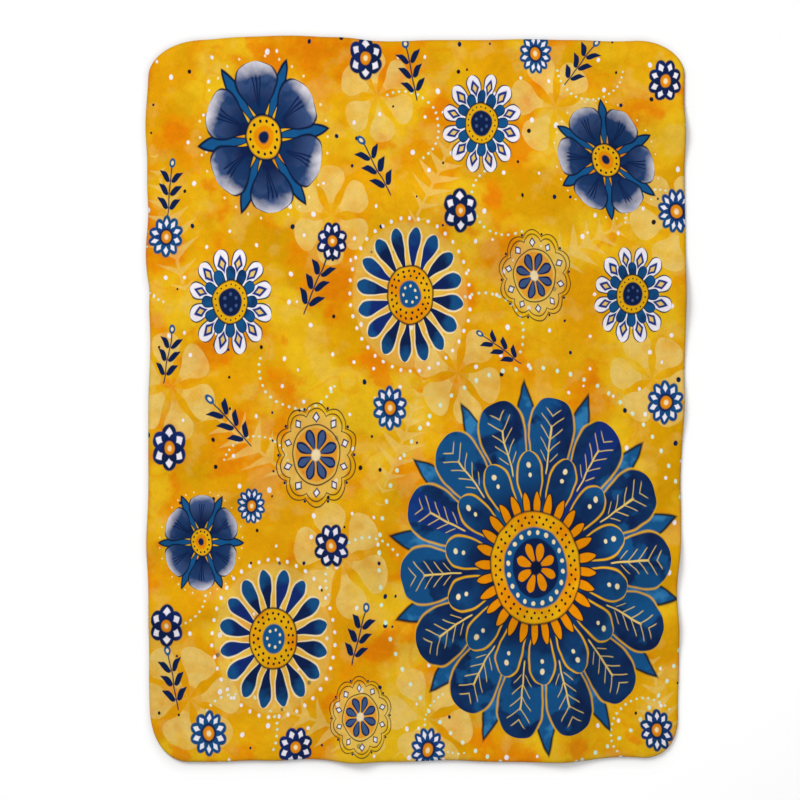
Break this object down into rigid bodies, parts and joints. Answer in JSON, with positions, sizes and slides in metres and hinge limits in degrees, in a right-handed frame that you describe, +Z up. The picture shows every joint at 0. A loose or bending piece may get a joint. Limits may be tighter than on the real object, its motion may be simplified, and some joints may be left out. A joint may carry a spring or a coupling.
{
  "type": "printed plush throw blanket",
  "caption": "Flat printed throw blanket: one plush cloth with a rolled hem and rounded corners, lying in low soft folds.",
  "frame": {"origin": "centre of the bounding box in X and Y, on the surface that the blanket lies on", "axes": "+Y along the length, towards the edge at the top of the picture; +X across, to the picture's right; +Z up from the surface to the printed side"},
  "size_m": [0.7636, 1.027, 0.0211],
  "materials": {
    "printed_plush": "short plush pile with a floral print on a mottled mustard ground, matt"
  },
  "bodies": {
    "root": {"blanket": "printed_plush"}
  },
  "joints": []
}
